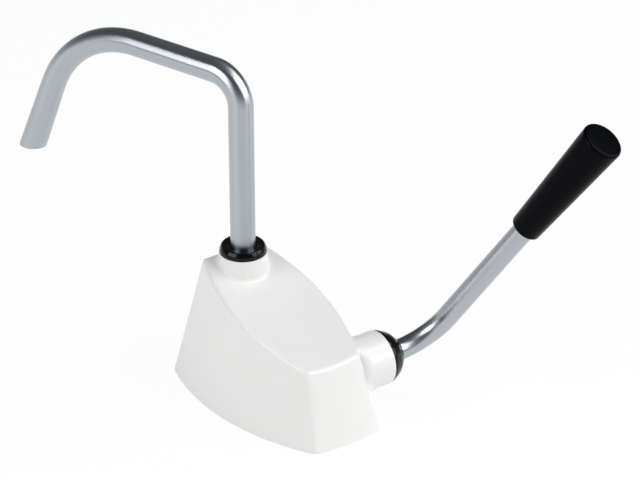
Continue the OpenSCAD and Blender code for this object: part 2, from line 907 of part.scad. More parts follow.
// Recesses, stem hole and ports of the transfer valve
module transfer_room() {
  translate([0, 0, paddle_t - valve_disc_t - free_gap])
    cylinder(h = valve_disc_t + free_gap + eps, r = valve_disc_r + valve_room);
  translate([0, 0, -paddle_t - eps])
    cylinder(h = valve_lift + stop_t + free_gap + eps, r = stop_r + valve_room);
  translate([0, 0, -paddle_t - eps]) cylinder(h = 2 * paddle_t, r = stem_r + run_fit);
  for (a = [0 : 60 : 300])
    rotate([0, 0, a])
      translate([valve_port_at, 0, -paddle_t - eps]) cylinder(h = 2 * paddle_t, r = valve_port_r);
}

module transfer_valve() {
  color("black")
    paddle_plane()
      translate([0, valve_at, 0]) {
        translate([0, 0, paddle_t - valve_disc_t]) cylinder(h = valve_disc_t, r = valve_disc_r);
        translate([0, 0, -paddle_t]) cylinder(h = 2 * paddle_t - valve_disc_t + eps, r = stem_r);
        translate([0, 0, -paddle_t]) cylinder(h = stop_t, r = stop_r);
      }
}

module paddle_pin() {
  color("silver") paddle_pin_bar(pin_r, hub_r - pin_short);
}

module paddle_wiper() {
  side_w = chamber_half_w - free_gap;
  color("dimgray")
    paddle_plane()
      difference() {
        intersection() {
          translate([-side_w, hub_r + wiper_step, -paddle_t + wiper_step])
            cube([2 * side_w, wiper_r, 2 * (paddle_t - wiper_step)]);
          rotate([0, 90, 0]) translate([0, 0, -far]) cylinder(h = 2 * far, r = wiper_r);
        }
        translate([-blade_half_w, 0, -paddle_t - eps])
          cube([2 * blade_half_w, blade_r, 2 * paddle_t + 2 * eps]);
      }
}

cover();
base_plate();
base_screws();
deck_inserts();
pump_chamber();
chamber_screws();
chamber_lid();
lid_gasket();
lid_screws();
inlet_union();
valve_cage();
delivery_elbow();
outlet_oring();
spout_orings();
spout_collar();
lever_gland();
lever_bush();
shaft_seal();
inner_bush();
spout_tube();
spout_nozzle();
spout_sleeve();
lever_tube();
lever_arm();
hand_grip();
lever_shaft();
lever_pin();
paddle();
paddle_pin();
paddle_wiper();
inlet_valve();
transfer_valve();
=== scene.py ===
"""Looks of a galley hand pump: white moulded cover, bent metal spout, side lever and black grip."""

import json
import logging
import math
from dataclasses import dataclass, field
from enum import Enum
from typing import Any, Iterable

import bmesh
import bpy
from mathutils import Matrix, Vector


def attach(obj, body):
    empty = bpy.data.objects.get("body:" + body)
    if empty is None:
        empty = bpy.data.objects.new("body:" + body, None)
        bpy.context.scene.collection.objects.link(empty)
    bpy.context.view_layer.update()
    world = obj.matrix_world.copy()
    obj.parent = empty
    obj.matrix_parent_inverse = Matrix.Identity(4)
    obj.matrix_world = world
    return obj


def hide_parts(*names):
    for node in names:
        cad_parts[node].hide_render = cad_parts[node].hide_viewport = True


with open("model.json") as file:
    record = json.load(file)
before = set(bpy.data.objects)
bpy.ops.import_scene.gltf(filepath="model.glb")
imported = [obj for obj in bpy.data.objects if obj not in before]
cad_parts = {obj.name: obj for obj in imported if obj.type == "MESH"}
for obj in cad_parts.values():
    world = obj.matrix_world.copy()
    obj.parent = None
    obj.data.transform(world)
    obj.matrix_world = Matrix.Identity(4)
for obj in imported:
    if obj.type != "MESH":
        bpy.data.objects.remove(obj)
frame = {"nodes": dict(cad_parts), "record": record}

LOG = logging.getLogger("galley_pump")
MM = 0.001
PURE_WHITE = "#FFFFFF"
TUBE_UV = "along_and_around"
STRAIGHT_PLACE = "straight"
# Draw marks are about this many times as long as they are wide.
DRAW_STRETCH = 30.0
# Octaves of the two noises in every finish
MOTTLE_DETAIL = 3.0
GRAIN_DETAIL = 2.0
# Points this near to a cutting plane, in metres, count as on it.
ON_PLANE = 1e-7
# Points nearer to each other than this, in metres, are one point.
SAME_POINT = 1e-6
# Edge roundings of the turned pieces, in millimetres
FINE_EDGE = 0.2
SEAT_EDGE = 0.25
LIP_EDGE = 0.3
BAND_EDGE = 0.8
SOFT_EDGE = 0.9


class Body(Enum):
    """The moving bodies that pieces ride on."""

    PUMP = "pump_body"
    SPOUT = "spout"
    LEVER = "lever"


class Slot(Enum):
    """The record's material slots."""

    WHITE = "white_moulding"
    GREY = "grey_moulding"
    BEARING = "bearing_plastic"
    GLOSS_BLACK = "black_gloss"
    GRIP = "black_grip"
    TUBE = "tube_metal"
    STEEL = "steel"
    BRASS = "brass"
    RUBBER = "rubber"


def linear(hex_colour: str) -> tuple[float, float, float, float]:
    """Turns an sRGB hex colour into linear RGBA.

    Args:
        hex_colour: Six hex digits after a hash sign.

    Returns:
        Linear red, green, blue and an alpha of one.
    """
    parts = [int(hex_colour[i : i + 2], 16) / 255 for i in (1, 3, 5)]
    red, green, blue = (
        c / 12.92 if c <= 0.04045 else ((c + 0.055) / 1.055) ** 2.4 for c in parts
    )
    return red, green, blue, 1.0


def add_node(
    tree: bpy.types.NodeTree, kind: str, inputs: dict[Any, Any] | None = None, **settings: Any
) -> bpy.types.Node:
    """Adds one shader node with its settings, input values and links.

    Args:
        tree: The node tree.
        kind: The node's type name.
        inputs: Input name or number to a value, or to the socket that feeds it.
        **settings: Attributes of the node.

    Returns:
        The new node.
    """
    node = tree.nodes.new(kind)
    for key, value in settings.items():
        setattr(node, key, value)
    for key, value in (inputs or {}).items():
        if isinstance(value, bpy.types.NodeSocket):
            tree.links.new(value, node.inputs[key])
        else:
            node.inputs[key].default_value = value
    return node


def cells_per_metre(size_mm: float) -> float:
    """Noise scale for a feature of this size in millimetres."""
    return 1.0 / (size_mm * MM)


@dataclass(frozen=True)
class Finish:
    """A surface finish, made into one material.

    Each finish mottles its colour a little, wavers in roughness and has a fine relief.
    """

    name: str
    colour: str
    second_colour: str
    roughness: tuple[float, float]
    grain_mm: float
    relief_mm: float
    mottle_mm: float = 30.0
    metallic: float = 0.0
    ior: float = 1.5
    polished_round: float = 0.0
    drawn: bool = False

    def place(self, tree: bpy.types.NodeTree) -> bpy.types.NodeSocket:
        """The coordinates that the finish's patterns lie on.

        A drawn tube keeps its place from before it was bent, so its marks follow the bends.
        """
        if not self.drawn:
            return add_node(tree, "ShaderNodeTexCoord").outputs["Object"]
        lay = add_node(tree, "ShaderNodeAttribute", attribute_name=STRAIGHT_PLACE)
        return add_node(
            tree,
            "ShaderNodeMapping",
            {"Vector": lay.outputs["Vector"], "Scale": (1.0, 1.0, 1 / DRAW_STRETCH)},
        ).outputs["Vector"]

    def build(self) -> bpy.types.Material:
        """Makes the material.

        Returns:
            The finished node material.
        """
        material = bpy.data.materials.new(self.name)
        material.use_nodes = True
        tree = material.node_tree
        tree.nodes.clear()
        place = self.place(tree)
        mottle = add_node(
            tree,
            "ShaderNodeTexNoise",
            {
                "Vector": place,
                "Scale": cells_per_metre(self.mottle_mm),
                "Detail": MOTTLE_DETAIL,
            },
        ).outputs[0]
        grain = add_node(
            tree,
            "ShaderNodeTexNoise",
            {
                "Vector": place,
                "Scale": cells_per_metre(self.grain_mm),
                "Detail": GRAIN_DETAIL,
            },
        ).outputs[0]
        # Inputs 0, 6 and 7 of the mix are its share and its two colours.
        colour = add_node(
            tree,
            "ShaderNodeMix",
            {0: mottle, 6: linear(self.colour), 7: linear(self.second_colour)},
            data_type="RGBA",
        ).outputs[2]
        gloss = add_node(
            tree,
            "ShaderNodeMapRange",
            {"Value": grain, "To Min": self.roughness[0], "To Max": self.roughness[1]},
        ).outputs["Result"]
        relief = add_node(
            tree,
            "ShaderNodeBump",
            {"Height": grain, "Strength": 1.0, "Distance": self.relief_mm * MM},
        ).outputs["Normal"]
        shader = add_node(
            tree,
            "ShaderNodeBsdfPrincipled",
            {
                "Base Color": colour,
                "Roughness": gloss,
                "Normal": relief,
                "Metallic": self.metallic,
                "IOR": self.ior,
                "Anisotropic": self.polished_round,
            },
        )
        if self.polished_round:
            length = add_node(tree, "ShaderNodeTangent", direction_type="UV_MAP", uv_map=TUBE_UV)
            tree.links.new(length.outputs["Tangent"], shader.inputs["Tangent"])
        add_node(tree, "ShaderNodeOutputMaterial", {"Surface": shader.outputs[0]})
        return material


# Injection-moulded ABS: a bright clean white with a soft gloss and a faint orange peel.
WHITE_ABS = Finish(
    "moulded_white_abs", "#F0F0EF", "#ECECEB", (0.20, 0.27), grain_mm=3.0, relief_mm=0.002
)
# Moulded polypropylene: pale grey and waxy.
GREY_PP = Finish(
    "moulded_grey_polypropylene", "#C9CCCE", "#BFC2C5", (0.42, 0.5), grain_mm=1.2, relief_mm=0.004
)
# Acetal bearing stock: milky and silky.
ACETAL = Finish(
    "turned_acetal", "#E6E4DC", "#DEDCD3", (0.36, 0.44), grain_mm=0.8, relief_mm=0.003, ior=1.48
)
# Polished black nylon: deep black that takes sharp highlights.
BLACK_NYLON = Finish(
    "polished_black_nylon",
    "#070708",
    "#0A0A0B",
    (0.08, 0.13),
    grain_mm=2.0,
    relief_mm=0.002,
    ior=1.32,
)
# Moulded phenolic grip: black with a blue cast and a faint soft sheen.
BLACK_GRIP = Finish(
    "satin_black_phenolic",
    "#030409",
    "#04050B",
    (0.24, 0.30),
    grain_mm=0.9,
    relief_mm=0.002,
    ior=1.13,
)
# Anodised aluminium tube: drawn, then etched, so the gloss is satin with faint lengthwise marks.
# Real draw marks are under 0.1 mm wide, and are drawn wider so that they show.
ALUMINIUM = Finish(
    "anodised_drawn_aluminium",
    # The satin grey is the metal's own colour. Its extra darkness and blue cast stand in for a
    # dimmer, bluish surround reflected in the tube: a painted reflection.
    "#B6BCC2",
    "#AEB5BB",
    (0.27, 0.30),
    grain_mm=0.5,
    relief_mm=0.0002,
    mottle_mm=1.4,
    metallic=1.0,
    polished_round=0.75,
    drawn=True,
)
# Stainless steel bar: neutral grey, finely ground.
STEEL = Finish(
    "ground_stainless_steel", "#B4B4B2", "#A6A6A4", (0.25, 0.36), 0.4, 0.002, metallic=1.0
)
# Turned brass: warm yellow with a worn lustre.
BRASS = Finish("turned_brass", "#C9A45A", "#B88F45", (0.25, 0.38), 0.4, 0.002, metallic=1.0)
# Nitrile rubber: flat black.
RUBBER = Finish("moulded_nitrile_rubber", "#1B1B1C", "#222223", (0.62, 0.75), 0.6, 0.01)

FINISHES: dict[Slot, Finish] = {
    Slot.WHITE: WHITE_ABS,
    Slot.GREY: GREY_PP,
    Slot.BEARING: ACETAL,
    Slot.GLOSS_BLACK: BLACK_NYLON,
    Slot.GRIP: BLACK_GRIP,
    Slot.TUBE: ALUMINIUM,
    Slot.STEEL: STEEL,
    Slot.BRASS: BRASS,
    Slot.RUBBER: RUBBER,
}


class Paintbox:
    """Keeps one material for each slot."""

    def __init__(self) -> None:
        """Makes every material once."""
        self.materials = {slot: finish.build() for slot, finish in FINISHES.items()}

    def dress(self, piece: bpy.types.Object, slot: Slot) -> None:
        """Gives a piece the one material of a slot.

        Args:
            piece: The mesh object.
            slot: The record's slot.
        """
        piece.data.materials.clear()
        piece.data.materials.append(self.materials[slot])

    def dress_frame(self) -> None:
        """Dresses every CAD node by its slot in the record."""
        for row in frame["record"]["subparts"]:
            self.dress(frame["nodes"][row["node"]], Slot(row["material_slot"]))


def make_object(name: str, bm: bmesh.types.BMesh, sharp_deg: float = 40.0) -> bpy.types.Object:
    """Turns a bmesh into a smooth-shaded object at the origin.

    Args:
        name: The object's name.
        bm: The mesh, which is freed.
        sharp_deg: Edges over this angle stay sharp.

    Returns:
        The linked object.
    """
    mesh = bpy.data.meshes.new(name)
    bm.to_mesh(mesh)
    bm.free()
    mesh.shade_smooth()
    mesh.set_sharp_from_angle(angle=math.radians(sharp_deg))
    piece = bpy.data.objects.new(name, mesh)
    bpy.context.scene.collection.objects.link(piece)
    return piece


def baked(piece: bpy.types.Object) -> bmesh.types.BMesh:
    """Takes a helper object's mesh with its modifiers applied and removes the object.

    Args:
        piece: The helper object.

    Returns:
        A bmesh of the evaluated shape.
    """
    bpy.context.view_layer.update()
    graph = bpy.context.evaluated_depsgraph_get()
    bm = bmesh.new()
    bm.from_object(piece, graph)
    bpy.data.objects.remove(piece)
    return bm


def place_piece(
    piece: bpy.types.Object, body: Body, slot: Slot, paint: Paintbox, nodes: Iterable[str]
) -> None:
    """Dresses a piece in its slot's material, ties it to its body and hides the CAD nodes that it
    stands for.

    Args:
        piece: The finished object.
        body: The body that it rides on.
        slot: The record's material slot.
        paint: The materials.
        nodes: The CAD nodes that it replaces.
    """
    paint.dress(piece, slot)
    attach(piece, body.value)
    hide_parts(*nodes)
    LOG.info("%s: %d faces", piece.name, len(piece.data.polygons))


def cut_off(
    bm: bmesh.types.BMesh,
    point: Vector,
    normal: Vector,
    close: bool = False,
    only: list[bmesh.types.BMFace] | None = None,
) -> None:
    """Cuts away what lies beyond a plane.

    Args:
        bm: The mesh.
        point: A point of the plane.
        normal: The side that goes.
        close: Fills the cut with a face.
        only: Faces to cut, or every face.
    """
    faces = bm.faces[:] if only is None else only
    edges = dict.fromkeys(e for f in faces for e in f.edges)
    verts = dict.fromkeys(v for f in faces for v in f.verts)
    done = bmesh.ops.bisect_plane(
        bm,
        geom=[*faces, *edges, *verts],
        dist=ON_PLANE,
        plane_co=point,
        plane_no=normal,
        clear_outer=True,
    )
    if close:
        rim = [g for g in done["geom_cut"] if isinstance(g, bmesh.types.BMEdge)]
        bmesh.ops.edgeloop_fill(bm, edges=rim)
        bmesh.ops.recalc_face_normals(bm, faces=bm.faces)


@dataclass
class Cover:
    """The white moulded cover with its spout boss and lever boss. Sizes are in millimetres."""

    length: float = 130.0
    half_width: float = 46.0
    side_radius: float = 150.0
    widest_y: float = 17.0
    side_draft: float = 15.0
    front_radius: float = 105.0
    front_lean: float = 19.5
    back_lean: float = 5.0
    top_z: float = 58.0
    top_slope: float = 15.0
    wall: float = 3.0
    spout_y: float = 44.5
    boss_z: float = 78.5
    boss_radius: float = 14.4
    boss_foot_radius: float = 16.6
    lever_y: float = -37.5
    lever_z: float = 31.0
    lever_radius: float = 16.7
    lever_face_x: float = 40.5
    lever_from_x: float = 21.0
    voxel: float = 0.95
    soften: int = 8
    root_soften: int = 40
    smooth_share: float = 0.5
    wall_sides: int = 360
    boss_sides: int = 128
    boss_spare: float = 6.0
    root_short: float = 4.0
    root_band: float = 5.0
    rim_depth: float = 5.0
    rim_band: float = 2.0
    low: float = -8.0
    high: float = 92.0

    def leaning_wall(
        self, x: float, y: float, radius: float, lean: float, spare: float
    ) -> bpy.types.Object:
        """A cone about an upright line, with its radius given at the worktop.

        Args:
            x: Place of the line.
            y: Place of the line.
            radius: Radius at the worktop.
            lean: Lean of the wall in degrees.
            spare: Extra height at both ends, so that no two cones share an end plane.

        Returns:
            The helper object.
        """
        bm = bmesh.new()
        slope = math.tan(math.radians(lean))
        low, high = self.low - spare, self.high + spare
        middle = (low + high) / 2
        bmesh.ops.create_cone(
            bm,
            cap_ends=True,
            segments=self.wall_sides,
            radius1=(radius - low * slope) * MM,
            radius2=(radius - high * slope) * MM,
            depth=(high - low) * MM,
            matrix=Matrix.Translation(Vector((x, y, middle)) * MM),
        )
        return make_object("wall_helper", bm)

    def outer_form(self) -> bmesh.types.BMesh:
        """The cover's closed outer form without its bosses.

        Returns:
            A bmesh with sharp edges.
        """
        offset = self.half_width - self.side_radius
        right = self.leaning_wall(offset, self.widest_y, self.side_radius, self.side_draft, 0)
        left = self.leaning_wall(-offset, self.widest_y, self.side_radius, self.side_draft, 1)
        front_y = self.front_radius - self.length / 2
        front = self.leaning_wall(0.0, front_y, self.front_radius, self.front_lean, 2)
        for other in (left, front):
            meet = right.modifiers.new("meet", "BOOLEAN")
            meet.operation = "INTERSECT"
            meet.solver = "EXACT"
            meet.object = other
        bm = baked(right)
        LOG.info("cover walls: %d faces", len(bm.faces))
        for other in (left, front):
            bpy.data.objects.remove(other)
        slope, lean = math.radians(self.top_slope), math.radians(self.back_lean)
        cuts = (
            (Vector((0, 0, self.top_z)), Vector((0, -math.sin(slope), math.cos(slope)))),
            (Vector((0, self.length / 2, 0)), Vector((0, math.cos(lean), math.sin(lean)))),
        )
        for point, normal in cuts:
            cut_off(bm, point * MM, normal, close=True)
        open_edges = sum(not edge.is_manifold for edge in bm.edges)
        LOG.info("cover form: %d faces, %d open edges", len(bm.faces), open_edges)
        return bm

    def add_bosses(self, bm: bmesh.types.BMesh) -> None:
        """Adds the two bosses, longer than they finish, as closed overlapping cones.

        Args:
            bm: The outer form.
        """
        foot, spare = self.top_z, self.boss_spare
        taper = (self.boss_foot_radius - self.boss_radius) / (self.boss_z - foot)
        height = self.boss_z + spare - foot
        bmesh.ops.create_cone(
            bm,
            cap_ends=True,
            segments=self.boss_sides,
            radius1=self.boss_foot_radius * MM,
            radius2=(self.boss_radius - spare * taper) * MM,
            depth=height * MM,
            matrix=Matrix.Translation(Vector((0, self.spout_y, foot + height / 2)) * MM),
        )
        reach = self.lever_face_x + spare - self.lever_from_x
        middle = Vector((self.lever_from_x + reach / 2, self.lever_y, self.lever_z)) * MM
        bmesh.ops.create_cone(
            bm,
            cap_ends=True,
            segments=self.boss_sides,
            radius1=self.lever_radius * MM,
            radius2=self.lever_radius * MM,
            depth=reach * MM,
            matrix=Matrix.Translation(middle) @ Matrix.Rotation(math.pi / 2, 4, "Y"),
        )

    def smooth(self, bm: bmesh.types.BMesh, verts: Iterable[Any], rounds: int) -> None:
        """Evens out some points, a number of times.

        Args:
            bm: The mesh.
            verts: The points that move.
            rounds: How often they move.
        """
        for _ in range(rounds):
            bmesh.ops.smooth_vert(
                bm,
                verts=verts,
                factor=self.smooth_share,
                use_axis_x=True,
                use_axis_y=True,
                use_axis_z=True,
            )

    def build(self) -> bpy.types.Object:
        """Moulds the cover: one skin with soft edges, cut open where the real one is open.

        Returns:
            The cover object.
        """
        bm = self.outer_form()
        self.add_bosses(bm)
        blank = make_object("cover_blank", bm)
        skin = blank.modifiers.new("skin", "REMESH")
        skin.mode = "VOXEL"
        skin.voxel_size = self.voxel * MM
        bm = baked(blank)
        self.smooth(bm, bm.verts, self.soften)
        axis = Vector((0, self.lever_y, self.lever_z)) * MM
        root = [
            v
            for v in bm.verts
            if self.lever_from_x * MM < v.co.x < (self.lever_face_x - self.root_short) * MM
            and v.co.y < axis.y
            and (v.co - axis).yz.length < (self.lever_radius + self.root_band) * MM
        ]
        self.smooth(bm, root, self.root_soften)
        cut_off(bm, Vector((0, 0, 0)), Vector((0, 0, -1)))
        cut_off(bm, Vector((0, 0, self.boss_z)) * MM, Vector((0, 0, 1)))
        reach = (self.lever_radius + self.rim_band) * MM
        near = [
            face
            for face in bm.faces
            if all(
                v.co.x > (self.lever_face_x - self.rim_depth) * MM
                and (v.co - axis).yz.length < reach
                for v in face.verts
            )
        ]
        cut_off(bm, Vector((self.lever_face_x, 0, 0)) * MM, Vector((1, 0, 0)), only=near)
        return self.hollow(bm)

    def hollow(self, bm: bmesh.types.BMesh) -> bpy.types.Object:
        """Gives the outer skin its wall and a level foot.

        Args:
            bm: The outer skin.

        Returns:
            The cover object.
        """
        bmesh.ops.recalc_face_normals(bm, faces=bm.faces)
        shell = make_object("cover_shell", bm)
        wall = shell.modifiers.new("wall", "SOLIDIFY")
        wall.thickness = self.wall * MM
        wall.offset = -1.0
        bm = baked(shell)
        # The leaning walls end below the worktop on their inner side, so the foot is cut level.
        cut_off(bm, Vector((0, 0, 0)), Vector((0, 0, -1)))
        foot = [e for e in bm.edges if e.is_boundary]
        bmesh.ops.bridge_loops(bm, edges=foot)
        bmesh.ops.recalc_face_normals(bm, faces=bm.faces)
        open_edges = sum(not edge.is_manifold for edge in bm.edges)
        LOG.info("cover shell: %d faces, %d open edges", len(bm.faces), open_edges)
        return make_object("cover_moulding", bm)


@dataclass
class Tube:
    """A bent metal tube, drawn from its foot along straights and bends.

    Sizes are in millimetres.
    """

    name: str
    radius: float
    wall: float
    start: Vector
    along: Vector
    bend_axis: Vector
    steps: list[tuple[str, float, float]]
    sides: int = 72
    end_cut: tuple[Vector, Vector] | None = None
    end_flare: float = 0.0
    arc_steps: int = 36
    sharp_deg: float = 30.0
    # The end cut is made only below and behind these places.
    cut_below: float = 150.0
    cut_behind: float = 150.0

    def first_ring(self, bm: bmesh.types.BMesh, radius: float) -> list[Any]:
        """Draws the ring at the tube's foot.

        Args:
            bm: The mesh to draw in.
            radius: Radius of the ring.

        Returns:
            The ring's edges.
        """
        lay = bm.verts.layers.float_vector[STRAIGHT_PLACE]
        turn = Vector((0, 0, 1)).rotation_difference(self.along)
        ring = bmesh.ops.create_circle(
            bm,
            cap_ends=False,
            segments=self.sides,
            radius=radius * MM,
            matrix=Matrix.Translation(self.start * MM) @ turn.to_matrix().to_4x4(),
        )["verts"]
        for number, vert in enumerate(ring):
            angle = math.tau * number / self.sides
            vert[lay] = Vector((math.cos(angle), math.sin(angle), 0)) * radius * MM
        return list(dict.fromkeys(e for v in ring for e in v.link_edges))

    def draw(self, bm: bmesh.types.BMesh, radius: float) -> list[Any]:
        """Draws one skin of the tube and notes where each point lay before bending.

        Args:
            bm: The mesh to draw in.
            radius: Radius of the skin.

        Returns:
            The edges of the first ring.
        """
        lay = bm.verts.layers.float_vector[STRAIGHT_PLACE]
        first = edges = self.first_ring(bm, radius)
        point, heading, run = self.start * MM, self.along.copy(), 0.0
        for kind, amount, bend_radius in self.steps:
            if kind == "straight":
                parts, step = 1, amount * MM
            else:
                parts, step = self.arc_steps, math.radians(amount) / self.arc_steps
                inward = self.bend_axis.cross(heading).normalized()
                centre = point + inward * bend_radius * MM
            for _ in range(parts):
                if kind == "straight":
                    made = bmesh.ops.extrude_edge_only(bm, edges=edges)["geom"]
                    fresh = [g for g in made if isinstance(g, bmesh.types.BMVert)]
                    bmesh.ops.translate(bm, verts=fresh, vec=heading * step)
                    point = point + heading * step
                    run += step
                else:
                    made = bmesh.ops.spin(
                        bm, geom=edges, cent=centre, axis=self.bend_axis, angle=step, steps=1
                    )["geom_last"]
                    fresh = [g for g in made if isinstance(g, bmesh.types.BMVert)]
                    spin = Matrix.Rotation(step, 3, self.bend_axis)
                    point = centre + spin @ (point - centre)
                    heading = spin @ heading
                    run += step * bend_radius * MM
                for vert in fresh:
                    vert[lay].z = run
                edges = [g for g in made if isinstance(g, bmesh.types.BMEdge)]
                held = set(fresh)
                edges = [e for e in edges if e.verts[0] in held and e.verts[1] in held]
        for vert in fresh:
            vert.co += (vert.co - point).normalized() * self.end_flare * MM
        return first

    def build(self) -> bpy.types.Object:
        """Draws both skins, cuts the end and closes the wall at both ends.

        Returns:
            The tube object.
        """
        bm = bmesh.new()
        bm.verts.layers.float_vector.new(STRAIGHT_PLACE)
        foot = [*self.draw(bm, self.radius), *self.draw(bm, self.radius - self.wall)]
        self.close_end(bm, foot)
        if self.end_cut is not None:
            point, normal = self.end_cut
            tail = [
                f
                for f in bm.faces
                if f.calc_center_median().z < self.cut_below * MM
                and f.calc_center_median().y > self.cut_behind * MM
            ]
            cut_off(bm, point * MM, normal, only=tail)
        self.close_end(bm, [e for e in bm.edges if e.is_boundary])
        bmesh.ops.recalc_face_normals(bm, faces=bm.faces)
        self.unroll(bm)
        return make_object(self.name, bm, sharp_deg=self.sharp_deg)

    def side_of(self, place: Vector) -> int:
        """Number of the side that a point lay on before bending."""
        return round(math.atan2(place.y, place.x) / math.tau * self.sides) % self.sides

    def close_end(self, bm: bmesh.types.BMesh, edges: list[Any]) -> None:
        """Closes the wall at one end, from each point of the outer ring to its inner one.

        Args:
            bm: The tube.
            edges: The edges of the end's two rings.
        """
        lay = bm.verts.layers.float_vector[STRAIGHT_PLACE]
        middle = (self.radius - self.wall / 2) * MM
        inner = {
            self.side_of(v[lay]): v for e in edges for v in e.verts if v[lay].xy.length < middle
        }
        for first, second in [e.verts for e in edges]:
            if first[lay].xy.length > middle:
                partners = inner[self.side_of(second[lay])], inner[self.side_of(first[lay])]
                bm.faces.new((first, second, *partners))

    def unroll(self, bm: bmesh.types.BMesh) -> None:
        """Lays the tube out flat, along its length and around it.

        Args:
            bm: The finished tube.
        """
        lay = bm.verts.layers.float_vector[STRAIGHT_PLACE]
        flat = bm.loops.layers.uv.new(TUBE_UV)
        for face in bm.faces:
            first = face.verts[0][lay]
            for loop in face.loops:
                spot = loop.vert[lay]
                turn = first.xy.angle_signed(spot.xy) if first.xy.length else 0.0
                around = math.atan2(first.y, first.x) - turn
                loop[flat].uv = (spot.z, around * self.radius * MM)


@dataclass
class Turning:
    """A turned or moulded round piece: a profile of radius and height, spun about a line.

    Corners are the profile's points with the edge rounding that each one gets, in millimetres.
    """

    name: str
    corners: list[tuple[float, float, float]]
    foot: Vector
    along: Vector
    steps: int = 96
    closed: bool = True
    edge_parts: int = 8
    edge_shape: float = 0.5
    sharp_deg: float = 35.0

    def build(self) -> bpy.types.Object:
        """Spins the profile and rounds its corners.

        Returns:
            The turned object.
        """
        bm = bmesh.new()
        points = [bm.verts.new((r * MM, 0, h * MM)) for r, h, _ in self.corners]
        pairs = list(zip(points, points[1:]))
        if self.closed:
            pairs.append((points[-1], points[0]))
        for pair in pairs:
            bm.edges.new(pair)
        for (_, _, rounding), point in zip(self.corners, points):
            if rounding:
                bmesh.ops.bevel(
                    bm,
                    geom=[point],
                    offset=rounding * MM,
                    offset_type="OFFSET",
                    affect="VERTICES",
                    segments=self.edge_parts,
                    profile=self.edge_shape,
                    material=-1,
                )
        bmesh.ops.spin(
            bm,
            geom=[*bm.verts, *bm.edges],
            cent=(0, 0, 0),
            axis=(0, 0, 1),
            angle=math.tau,
            steps=self.steps,
            use_merge=True,
        )
        bmesh.ops.remove_doubles(bm, verts=bm.verts, dist=SAME_POINT)
        bmesh.ops.recalc_face_normals(bm, faces=bm.faces)
        turn = Vector((0, 0, 1)).rotation_difference(self.along).to_matrix().to_4x4()
        bmesh.ops.transform(bm, matrix=Matrix.Translation(self.foot * MM) @ turn, verts=bm.verts)
        return make_object(self.name, bm, sharp_deg=self.sharp_deg)


@dataclass
class Spout:
    """The swivel spout and its collar."""

    line_y: float = 44.5
    radius: float = 7.5
    wall: float = 1.0
    foot_z: float = 56.0
    arm_z: float = 191.7
    arm_length: float = 127.6
    upright_bend: float = 19.0
    upright_turn: float = 90.0
    nozzle_bend: float = 75.0
    nozzle_fall: float = 67.0
    tip_z: float = 99.5
    nozzle_flare: float = 0.8
    turn: float = 17.4
    collar_z: float = 78.5
    collar_height: float = 5.0
    collar_radius: float = 14.2
    collar_draft: float = 0.1
    collar_band: float = 2.2
    collar_taper: float = 1.5
    dish_rim: float = 1.8
    dish_floor: float = 1.2
    dish_slope: float = 0.5
    dish_depth: float = 1.0
    skirt_radius: float = 10.95
    skirt_depth: float = 5.5
    bore_radius: float = 7.56

    def tube(self) -> bpy.types.Object:
        """The bent tube with its level end cut."""
        setback = self.nozzle_bend * math.tan(math.radians(self.nozzle_fall) / 2)
        run = (self.arm_z - self.tip_z) / math.sin(math.radians(self.nozzle_fall)) - setback
        swing = math.radians(self.turn)
        # Turning about this line carries the upright over into the arm.
        axis = -Vector((math.cos(swing), math.sin(swing), 0))
        return Tube(
            name="spout_bent_tube",
            radius=self.radius,
            wall=self.wall,
            start=Vector((0, self.line_y, self.foot_z)),
            along=Vector((0, 0, 1)),
            bend_axis=axis,
            steps=[
                ("straight", self.arm_z - self.upright_bend - self.foot_z, 0.0),
                ("bend", self.upright_turn, self.upright_bend),
                ("straight", self.arm_length - setback - self.upright_bend, 0.0),
                ("bend", self.nozzle_fall, self.nozzle_bend),
                ("straight", run + self.radius, 0.0),
            ],
            end_cut=(Vector((0, 0, self.tip_z)), Vector((0, 0, -1))),
            end_flare=self.nozzle_flare,
        ).build()

    def collar(self) -> bpy.types.Object:
        """The black collar: a skirt in the boss, a tapering band and a shallow dish at the top."""
        base, top = self.collar_z, self.collar_z + self.collar_height
        return Turning(
            name="spout_collar_ring",
            corners=[
                (self.bore_radius, base - self.skirt_depth, FINE_EDGE),
                (self.skirt_radius, base - self.skirt_depth, FINE_EDGE),
                (self.skirt_radius, base, 0.0),
                (self.collar_radius, base, SEAT_EDGE),
                (self.collar_radius - self.collar_draft, base + self.collar_band, BAND_EDGE),
                (self.collar_radius - self.collar_taper, top, SOFT_EDGE),
                (self.bore_radius + self.dish_rim, top - self.dish_slope, LIP_EDGE),
                (self.bore_radius + self.dish_floor, top - self.dish_depth, LIP_EDGE),
                (self.bore_radius, top - self.dish_depth, 0.0),
            ],
            foot=Vector((0, self.line_y, 0)),
            along=Vector((0, 0, 1)),
        ).build()

    def build(self, paint: Paintbox) -> None:
        """Builds and places the tube and the collar."""
        place_piece(self.tube(), Body.SPOUT, Slot.TUBE, paint, ["spout_tube", "spout_nozzle"])
        place_piece(self.collar(), Body.PUMP, Slot.GLOSS_BLACK, paint, ["spout_collar"])


